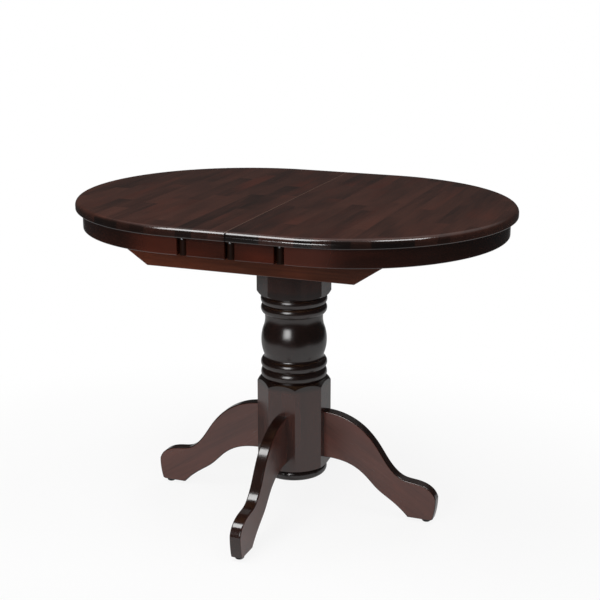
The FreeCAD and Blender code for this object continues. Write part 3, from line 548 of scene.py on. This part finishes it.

# %% [markdown]
# ## Mixing the stains
#
# All the visible wood had the same stain, but it reads differently on each piece.  The top and
# the leaf are glued from narrow staves and polished most.  Aprons and rails are single boards
# and redder, and the small blocks behind the notches were never polished.  Those blocks are
# also coloured darker than the apron, as painted shade of the recesses that they sit in.  Each
# could have a tree of nodes of its own, but one recipe with a few numbers per piece keeps them
# related, as one stain does.

# %% Mix the stains
TOP_STAIN = {"dark": colour(24, 12, 8), "light": colour(82, 48, 38), "red": colour(92, 41, 28),
             "stave": STAVE, "tone_share": 0.27, "roughness": 0.15}
finishes = {
    "top": stained_wood("stained_top", along_y, **TOP_STAIN, touches=top_touches,
                        groove=joint_groove),
    "leaf": stained_wood("stained_leaf", along_x, **TOP_STAIN),
    "apron": stained_wood("stained_apron", along_x, colour(29, 12, 6), colour(65, 27, 15),
                          colour(104, 42, 25), red_share=0.75, shine=0.3),
    "bent": stained_wood("stained_bent_apron", along_bend, colour(20, 9, 5), colour(48, 21, 13),
                         colour(68, 28, 17), roughness=0.19, touches=bent_touches),
    "rail": stained_wood("stained_rail", along_x, colour(60, 31, 20), colour(111, 59, 38),
                         colour(123, 59, 37), shine=0.35, touches=rail_touches),
    # darker than the apron: painted shade of the notches' recesses, where the blocks sit
    "block": stained_wood("stained_joint_block", along_z, colour(22, 12, 7), colour(36, 19, 12),
                          colour(42, 19, 11), roughness=0.45, shine=0.06),
    "column": stained_wood("stained_column", along_z, colour(42, 23, 18), colour(74, 41, 33),
                           colour(80, 38, 28), stave=(0.055, 2.0), streak_share=0.15,
                           roughness=0.19, pores=0.08, touches=column_touches),
    "leg": stained_wood("stained_leg", along_leg, colour(61, 31, 24), colour(111, 60, 47),
                        colour(119, 54, 40), stave=(0.07, 3.0), tone_share=0.15,
                        streak_share=0.3, roughness=0.23, touches=leg_touches),
}

# %% [markdown]
# ## Plain waxed wood
#
# Nobody stains the slides and the cross-pieces: they are planed hardwood, rubbed with wax.  A
# plain wave across the board could give the growth rings, but its bands come out too even.
# Noise drawn out along the fibres, and pushed aside by a slower noise, gives rings that drift
# and part as those of a sawn board do.

# %% Plain wood
def plain_wood(name, fibres, dark, light):
    """Rings = drawn noise, pushed aside by a slower one; pores = a far finer one on top."""
    material, finish = new_finish(name)
    place = fibres(finish)
    sway = drawn_noise(finish, place, waves=(2.5, 14.0))
    rings = drawn_noise(finish, place, waves=(1.5, 55.0), aside=sway * 5.0, detail=3.0)
    fibre = drawn_noise(finish, place, waves=(40.0, 1300.0))
    shade = finish.blend(finish.between(0.30, 0.72, rings), dark, light)
    shade = finish.blend(finish.between(0.55, 0.75, fibre, (0.0, 0.35)), shade, dark)
    gloss = finish.between(*NOISE_RANGE, fibre, (0.48, 0.62))
    bump = finish.node("Bump", inputs={"Strength": 0.3, "Distance": 0.0005, "Height": fibre + rings})
    shader = finish.node("BsdfPrincipled", inputs={
        "Base Color": shade, "Roughness": gloss, "Normal": bump})
    finish.node("OutputMaterial", inputs={"Surface": shader})
    return material


finishes["plain_x"] = plain_wood("plain_wood_rail", along_x,
                                 colour(168, 126, 84), colour(206, 167, 120))
finishes["plain_y"] = plain_wood("plain_wood_cross", along_y,
                                 colour(164, 122, 80), colour(202, 163, 118))
finishes["pin"] = plain_wood("dowel_wood", along_x,
                             colour(186, 150, 104), colour(214, 180, 136))
print("plain woods made: rails, cross-pieces and dowels")

# %% [markdown]
# ## Metal
#
# Screws, brackets and locks are zinc plated steel, and the hinges are brass.  One even metallic
# shader would do for chrome.  Plating and drawn brass are mottled: their roughness changes
# from grain to grain, and handling leaves dull stains.  Two noises, one fine and one coarse,
# give both.

# %% Metal
def metal(name, shade, dull, roughness, dent):
    """A plated or drawn metal: fine noise for roughness and dents, coarse noise for the stains."""
    material, finish = new_finish(name)
    spot = spot_on(finish)
    mottle = finish.noise(spot, scale=420.0, detail=3.0)
    stains = finish.between(0.45, 0.75, finish.noise(spot, scale=60.0))
    gloss = finish.between(*NOISE_RANGE, mottle, (roughness * 0.8, roughness * 1.25))
    bump = finish.node("Bump", inputs={"Strength": dent, "Distance": 0.0001, "Height": mottle})
    shader = finish.node("BsdfPrincipled", inputs={
        "Base Color": finish.blend(stains, shade, dull), "Metallic": 1.0,
        "Roughness": gloss, "Normal": bump})
    finish.node("OutputMaterial", inputs={"Surface": shader})
    return material


finishes["steel"] = metal("zinc_plated_steel", colour(196, 198, 202), colour(166, 166, 160),
                          roughness=0.30, dent=0.25)
finishes["brass"] = metal("drawn_brass", colour(208, 172, 96), colour(170, 132, 66),
                          roughness=0.28, dent=0.2)
print("metals made: steel and brass")

# %% [markdown]
# ## Plastic and felt
#
# The glides under the legs are moulded plastic with the fine spark texture of their mould, and
# strips of felt carry the stored leaf.  Pits and hairs could be modelled one by one, but they
# are a tenth of a millimetre across, so a bump from fine noise is enough to break up the light.

# %% Plastic and felt
def moulded_plastic(name, shade, scuffed):
    """Plastic with the pitted skin of a spark-cut mould: fine noise dents it, coarse noise scuffs it."""
    material, finish = new_finish(name)
    spot = spot_on(finish)
    pits = finish.noise(spot, scale=2600.0)
    scuff = finish.noise(spot, scale=180.0, detail=3.0)
    gloss = finish.between(*NOISE_RANGE, scuff, (0.34, 0.5))
    bump = finish.node("Bump", inputs={"Strength": 0.35, "Distance": 0.0001, "Height": pits})
    shader = finish.node("BsdfPrincipled", inputs={
        "Base Color": finish.blend(finish.between(0.55, 0.8, scuff), shade, scuffed),
        "Roughness": gloss, "Normal": bump})
    finish.node("OutputMaterial", inputs={"Surface": shader})
    return material


def felted_wool(name, shade, fleck):
    """Tangled short fibres: two noises at right angles to each other, both colour and bump."""
    material, finish = new_finish(name)
    x, y, z = place_on(finish)
    one_way = finish.noise(finish.vector(x * 500.0, y * 2400.0, z * 1200.0), detail=3.0)
    other_way = finish.noise(finish.vector(x * 2400.0, y * 500.0, z * 1200.0), detail=3.0)
    fuzz = one_way + other_way
    gloss = finish.between(0.8, 1.2, fuzz, (0.85, 1.0))
    bump = finish.node("Bump", inputs={"Strength": 0.8, "Distance": 0.0003, "Height": fuzz})
    shader = finish.node("BsdfPrincipled", inputs={
        "Base Color": finish.blend(finish.between(0.8, 1.25, fuzz), shade, fleck),
        "Roughness": gloss, "Normal": bump, "Sheen Weight": 0.3})
    finish.node("OutputMaterial", inputs={"Surface": shader})
    return material


finishes["glide"] = moulded_plastic("black_glide_plastic", colour(24, 23, 23), colour(52, 50, 49))
finishes["felt"] = felted_wool("felted_wool", colour(58, 50, 44), colour(104, 92, 80))
print("finishes in all:", len(finishes))

# %% [markdown]
# ## Dressing the frame
#
# Each solid keeps its shape and takes one finish.  They could be set one after another, but a
# table of who wears what shows at a glance that nothing was left bare.  The leaf lies
# lengthwise in its store, so its staves run along the table there, and across it once the leaf
# is turned and in use.

# %% Give each solid its finish
ENDS = ("left", "right")
SIDES = ("front", "back")
WEARS = {
    "top": list(TOP_HALVES),
    "leaf": ["leaf_lower", "leaf_upper"],
    "apron": [f"apron_{end}_{side}" for end in ENDS for side in SIDES],
    "bent": [f"apron_{end}_curved" for end in ENDS],
    "rail": [f"frame_rail_{side}" for side in SIDES],
    "block": [f"joint_blocks_{end}" for end in ENDS] + ["seam_blocks"],
    "column": ["column", "column_plug"],
    "leg": [f"leg_{name}" for name in (*ENDS, *SIDES)],
    "plain_x": [f"runner_{end}_{side}" for end in ENDS for side in SIDES]
               + [f"slide_strip_{side}" for side in SIDES] + ["slide_stops"],
    "plain_y": ["column_plate", "frame_deck", "frame_bearer_left", "frame_bearer_right"],
    "pin": ["seam_pins", "leaf_pins"],
    "steel": ["plate_screws", "leg_bolts", "leg_nuts", "frame_bolts", "frame_nuts", "strip_screws",
              "lock_bases", "lock_keepers", "leaf_pivot_plate"]
             + [f"{kind}_{end}" for end in ENDS for kind in ("brackets", "block_screws", "top_screws")]
             + [f"lock_lever_{side}" for side in SIDES],
    "brass": ["pivot_bush", "leaf_hinge_lower", "leaf_hinge_upper", "leaf_hinge_pins",
              "leaf_screws_lower", "leaf_screws_upper"],
    "glide": ["leg_glides"],
    "felt": ["leaf_felts"],
}


def dress(node, material):
    """Gives a solid one material."""
    data = frame["nodes"][node].data
    data.materials.clear()
    data.materials.append(material)


for finish_name, nodes in WEARS.items():
    for node in nodes:
        dress(node, finishes[finish_name])
bare = sorted(set(frame["nodes"]) - {node for nodes in WEARS.values() for node in nodes})
print("nodes without a finish:", bare)

# %% [markdown]
# ## Where the screws are
#
# In the solids a screw is a bare cone on a rod.  Each gets a better one in the same place.  The
# places could be typed in again, but they are safer read back from the mesh: vertices that
# share a triangle belong to one screw, and the longest direction through them is its axis.

# %% Find each screw's axis
END_RING = 1e-4                   # metres: vertices this near an end of the screw lie on it


def loose_parts(node):
    """The vertices of each separate solid: neighbours share the lowest label that they meet."""
    data = frame["nodes"][node].data
    points = np.empty(len(data.vertices) * 3)
    data.vertices.foreach_get("co", points)
    points, same = np.unique(np.round(points.reshape(-1, 3), 6), axis=0, return_inverse=True)
    corners = np.empty(len(data.polygons) * 3, dtype=int)
    data.polygons.foreach_get("vertices", corners)
    triangles = same.ravel()[corners].reshape(-1, 3)
    labels = np.arange(len(points))
    settled = False
    while not settled:
        before = labels.copy()
        lowest = labels[triangles].min(axis=1)
        for corner in range(3):
            np.minimum.at(labels, triangles[:, corner], lowest)
        settled = (labels == before).all()
    return [points[labels == label] for label in np.unique(labels)]


def screw_axis(points):
    """Middle of the head, way to the tip, length, and the radii of head and shank."""
    middle = points.mean(axis=0)
    way = np.linalg.svd(points - middle, full_matrices=False)[2][0]
    along = (points - middle) @ way
    away = np.linalg.norm(points - middle - along[:, None] * way, axis=1)
    first = away[along < along.min() + END_RING].max()
    last = away[along > along.max() - END_RING].max()
    if last > first:
        way, along, first, last = -way, -along, last, first
    return middle + along.min() * way, way, np.ptp(along), first, last


example = screw_axis(loose_parts("plate_screws")[0])
print("a plate screw:", round(example[2] * 1000, 1), "mm long,",
      "head", round(example[3] * 2000, 1), "mm across")

# %% [markdown]
# ## A driven screw
#
# A real wood screw has a cross pressed into its head for the driver, and a rolled thread that
# winds down to a point.  It could be cut from solids, a cone less a cross and a swept helix,
# but that leaves slivers along the thread, and a mesh that is hard to shade.  One grid of rings
# by spokes gives it in even faces, a thousand or two for each screw.  The head's inner rings
# dip where the arms of the cross are, and the rod's rings swell and shrink as the thread
# passes their spokes.

# %% The head's rings
ARM = 0.16                        # half width of the cross's arms, in head radii
ARM_REACH = (0.23, 0.60, 0.66)    # rings of the cross, in head radii: its corner, floor and end
HEAD_REACH = (0.93, 1.0)          # rings of the head's flat and of its edge, in head radii
CROSS_DEPTH = 0.55                # in head radii
PRESSED = (1.0, 0.8, 0.0, 0.0, 0.0)   # how far each ring is pressed in on an arm, in that depth
EDGE_DROP = 0.04                  # how much lower the edge lies than the flat, in head radii
STEPS = np.array([-15.0, 0.0, 15.0, 30.0, 45.0, 60.0])   # degrees: one quarter turn's spokes
QUARTERS = np.array([0.0, 90.0, 180.0, 270.0])
SPOKES = len(STEPS) * len(QUARTERS)


def all_round(steps):
    """Angles of every ring's spokes = its six steps, repeated for each quarter turn."""
    return np.radians((steps[:, None, :] + QUARTERS[:, None]).reshape(len(steps), SPOKES))


def head_rings(head):
    """Rings (angle, radius, depth): depth = the cross's on the spokes of its arms, 0 between them.

    On the cross's rings the first three spokes of a quarter mark an arm's two edges and its
    middle, and the next three lie between that arm and the next one.
    """
    reach = np.array([*ARM_REACH, *HEAD_REACH])[:, None] * head
    edge = np.minimum(np.degrees(np.arcsin(ARM * head / reach)), 44.0)
    arm = (-edge, 0 * edge, edge)
    gap = (edge + 1.0, 0 * edge + 45.0, 89.0 - edge)
    steps = np.concatenate(arm + gap, axis=1)
    steps[len(ARM_REACH):] = STEPS
    angle = all_round(steps)
    on_arm = np.tile([1.0, 1.0, 1.0, 0.0, 0.0, 0.0], len(QUARTERS))
    pressed = np.array(PRESSED)[:, None] * CROSS_DEPTH * head
    dropped = np.array([0.0, 0.0, 0.0, 0.0, EDGE_DROP])[:, None] * head
    return angle, np.broadcast_to(reach, angle.shape), on_arm * pressed + dropped


print("a head has", len(head_rings(1.0)[0]), "rings of", SPOKES, "spokes")

# %% The thread's rings
PITCH = 1.0                       # from one turn of the thread to the next, in shank radii
THREAD_ROOT = 0.80                # in shank radii
THREAD_START = 0.5                # smooth shank above the thread, in shank radii
TIP = 2.2                         # length of the point, in shank radii
TIP_WIDTH = 0.02                  # in shank radii
LAST_RING = 0.998                 # in screw lengths, just short of the tip
RINGS_PER_TURN = 3
FEWEST_RINGS = 6


def thread_rings(length, head, shank):
    """Radius = root + ridge * |2 frac(depth / pitch - angle / turn) - 1|, pinched to a tip."""
    neck = head - shank
    start = neck + THREAD_START * shank
    pitch = PITCH * shank
    rings = max(int(RINGS_PER_TURN * (length - start) / pitch), FEWEST_RINGS)
    threaded = np.linspace(start, length * LAST_RING, rings)
    depth = np.array([neck, *threaded])[:, None]
    angle = all_round(np.tile(STEPS, (len(depth), 1)))
    turn = (depth / pitch - angle / (2 * math.pi)) % 1.0
    radius = THREAD_ROOT + (1 - THREAD_ROOT) * np.abs(2 * turn - 1)
    radius[:2] = 1.0
    pinch = np.clip((length - depth) / (TIP * shank), TIP_WIDTH, 1.0)
    return angle, shank * radius * pinch, np.broadcast_to(depth, angle.shape)


print("a 30 mm screw has", len(thread_rings(0.030, 0.004, 0.002)[0]), "rings of thread")

# %% Wind the rings around the axis
UPRIGHT = 0.9                     # a way that rises more than this stands too near upright
SHARP = math.radians(35.0)        # edges that turn by more are shaded sharp


def screw_surface(points):
    """Point = head middle + radius (cos angle, sin angle) across the axis + depth along it."""
    place, way, length, head, shank = screw_axis(points)
    side = np.cross(way, [0.0, 0.0, 1.0] if abs(way[2]) < UPRIGHT else [1.0, 0.0, 0.0])
    side = side / np.linalg.norm(side)
    other = np.cross(way, side)
    rings = zip(head_rings(head), thread_rings(length, head, shank))
    angle, reach, depth = (np.concatenate(both) for both in rings)
    grid = (place + (reach * np.cos(angle))[..., None] * side
            + (reach * np.sin(angle))[..., None] * other + depth[..., None] * way)
    ends = np.array([place + CROSS_DEPTH * head * way, place + length * way])

    here = np.arange(angle.size).reshape(angle.shape)
    after = np.roll(here, -1, axis=1)
    quads = np.stack([here[:-1], after[:-1], after[1:], here[1:]], axis=-1).reshape(-1, 4)
    cross_floor, tip = np.full((2, SPOKES), [[angle.size], [angle.size + 1]])
    fans = np.concatenate([np.stack([cross_floor, after[0], here[0]], axis=-1),
                           np.stack([tip, here[-1], after[-1]], axis=-1)])
    return np.concatenate([grid.reshape(-1, 3), ends]), quads, fans


def driven_screws(node, finish_name):
    """Every screw of one solid as one piece, which rides and is painted as the solid is."""
    vertices, faces = [], []
    for points in loose_parts(node):
        more, quads, fans = screw_surface(points)
        faces += (quads + len(vertices)).tolist() + (fans + len(vertices)).tolist()
        vertices += more.tolist()
    mesh = bpy.data.meshes.new(node + "_driven")
    mesh.from_pydata(vertices, [], faces)
    mesh.polygons.foreach_set("use_smooth", [True] * len(faces))
    mesh.set_sharp_from_angle(angle=SHARP)
    mesh.materials.append(finishes[finish_name])
    piece = bpy.data.objects.new(node + "_driven", mesh)
    scene.collection.objects.link(piece)
    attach(piece, body_of(frame["nodes"][node])[0])
    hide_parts(node)
    return piece


DRIVEN = {
    "steel": ["plate_screws", "frame_bolts", "strip_screws", "block_screws_left",
              "block_screws_right", "top_screws_left", "top_screws_right"],
    "brass": ["leaf_screws_lower", "leaf_screws_upper"],
}
for finish_name, nodes in DRIVEN.items():
    for node in nodes:
        piece = driven_screws(node, finish_name)
        print(piece.name, "has", len(piece.data.polygons), "faces")

# %% [markdown]
# ## The floor
#
# The table stands on a roll of white paper in a dim studio.  The paper starts in front of the
# table, is some three metres wide and runs far back, in line with the camera.  Its light comes
# back off the lower facets of the column, the flanks of the legs and the two ends of the top,
# and the dim room leaves the flat top dark.
#
# Paper bright enough to look white all over would wash out the table.  So a Light Path node
# tells the camera's rays from the others: the camera sees plain white, with the floor's own
# shading let through only near the table, where its soft shadow is.  From underneath the floor
# is clear, so that the slides and the frame can be looked at.

# %% Floor
PLATFORM = (0.85, 1.75)           # metres from the column: end of the lit floor, start of the dark
PLATFORM_FORWARD = 0.35           # how far the lit floor's middle lies in front of the column
PAPER_SIDE = (1.3, 1.9)           # metres to either side of the camera's line where the paper ends
PAPER_START = (-1.6, -1.0)        # metres behind the column, along that line, where it begins
PAPER_DIMS = (-0.3, 0.6)          # metres behind the column over which it falls off
PAPER_WHITE = (0.56, 0.42)        # how white it looks in the lacquer, in front and behind
ROOM_SHEEN = 0.04                 # how white the dim room looks in it
UNDER_TABLE = (0.12, 0.40)        # metres from the column over which the table's shadow ends
UNDER_WHITE = 0.3                 # the share of plain white that the lacquer sees in that shadow
SHADOW = (0.6, 1.5)               # metres from the column over which the shadow fades out
SHADOW_WHITE = 0.88               # the share of plain white that the camera sees before that
PAPER = colour(243, 243, 243)
DARK_PAPER = colour(70, 70, 70)   # far off, so that it sends little light back to the table
FLOOR_REACH = 40.0                # metres
FLOOR_RINGS, FLOOR_SPOKES = 40, 64


def disc(name, radius, rings, spokes):
    """A flat disc: point = radius * ring share squared * (cos angle, sin angle, 0)."""
    share = (np.arange(1, rings + 1) / rings)[:, None] ** 2
    angle = (np.arange(spokes) / spokes * 2 * math.pi)[None, :]
    points = np.stack([radius * share * np.cos(angle), radius * share * np.sin(angle),
                       np.zeros((rings, spokes))], axis=-1).reshape(-1, 3)
    ring = np.arange(rings - 1)[:, None] * spokes
    here = np.arange(spokes)[None, :]
    after = (here + 1) % spokes
    quads = np.stack([ring + here, ring + spokes + here, ring + spokes + after, ring + after], axis=-1)
    faces = quads.reshape(-1, 4).tolist() + [list(range(spokes))]
    mesh = bpy.data.meshes.new(name)
    mesh.from_pydata(points.tolist(), [], faces)
    made = bpy.data.objects.new(name, mesh)
    scene.collection.objects.link(made)
    return made


def paper_sheen(finish, x, y):
    """How white the paper looks in the lacquer.

    It depends on how far a point is along the camera's line and to its side.  With a as the
    camera's angle: along = y cos a - x sin a, and aside = |x cos a + y sin a|.
    """
    cosine, sine = math.cos(CAMERA_AROUND), math.sin(CAMERA_AROUND)
    along = y * cosine - x * sine
    aside = abs(x * cosine + y * sine)
    here = finish.between(*PAPER_SIDE, aside, (1.0, 0.0)) * finish.between(*PAPER_START, along)
    return here * (finish.between(*PAPER_DIMS, along, PAPER_WHITE) - ROOM_SHEEN) + ROOM_SHEEN


def floor_material():
    """Shaded by the lamps near the table, white to the camera further off, clear from below."""
    material, finish = new_finish("studio_floor")
    x, y, z = place_on(finish)
    reach = distance(x, y + PLATFORM_FORWARD)
    paint = finish.blend(finish.between(*PLATFORM, reach), PAPER, DARK_PAPER)
    lit = finish.node("BsdfDiffuse", inputs={"Color": paint})

    camera_ray = finish.node("LightPath", output="Is Camera Ray")
    seen = camera_ray + camera_ray.beside("Is Transmission Ray")
    glossy = camera_ray.beside("Is Glossy Ray")
    brightness = seen + glossy * paper_sheen(finish, x, y)
    white = finish.node("Emission", inputs={"Strength": brightness})
    under = finish.between(*UNDER_TABLE, distance(x, y), (UNDER_WHITE, 1.0))
    share = seen * finish.between(*SHADOW, reach, (SHADOW_WHITE, 1.0)) + glossy * under
    above = finish.node("MixShader", inputs={0: share, 1: lit, 2: white})

    from_below = finish.node("NewGeometry", output="Backfacing")
    clear = finish.node("BsdfTransparent")
    both_sides = finish.node("MixShader", inputs={0: from_below, 1: above, 2: clear})
    finish.node("OutputMaterial", inputs={"Surface": both_sides})
    return material


floor = disc("floor", FLOOR_REACH, FLOOR_RINGS, FLOOR_SPOKES)
floor.data.materials.append(floor_material())
print("floor reaches", FLOOR_REACH, "m")

# %% [markdown]
# ## The room
#
# Behind the paper the camera sees plain white.  The lacquer must not: in a white room every
# dark board would turn grey.  It mirrors a dim room with a pale ceiling instead, and the room's
# own faint light fills the shadows a little.  Walls and a ceiling could be built, but a few
# nodes on the world say the same.  A dot product finds the ceiling: it is how far a direction
# agrees with the way there.

# %% Room
ROOM_FILL = 0.16
CEILING_SHEEN = 0.4
CEILING_WAY = (0.0, 0.35, 0.937)  # towards the pale ceiling, overhead and a little behind
CEILING_EDGE = (0.62, 0.95)       # agreement with that way, over which the ceiling brightens

world = bpy.data.worlds.new("studio")
world.use_nodes = True
scene.world = world
room = Finish(world.node_tree)
direction = room.node("TexCoord", output="Generated")
agreement = room.node("VectorMath", {"operation": "DOT_PRODUCT"}, {0: direction, 1: CEILING_WAY},
                      output="Value")
sheen = room.between(*CEILING_EDGE, agreement, (ROOM_SHEEN, CEILING_SHEEN))
camera_ray = room.node("LightPath", output="Is Camera Ray")
strength = (camera_ray + camera_ray.beside("Is Transmission Ray")
            + camera_ray.beside("Is Glossy Ray") * sheen
            + camera_ray.beside("Is Diffuse Ray") * ROOM_FILL)
backdrop = room.node("Background", inputs={"Color": (1.0, 1.0, 1.0, 1.0), "Strength": strength})
room.node("OutputWorld", inputs={"Surface": backdrop})
print("room has", len(world.node_tree.nodes), "nodes")
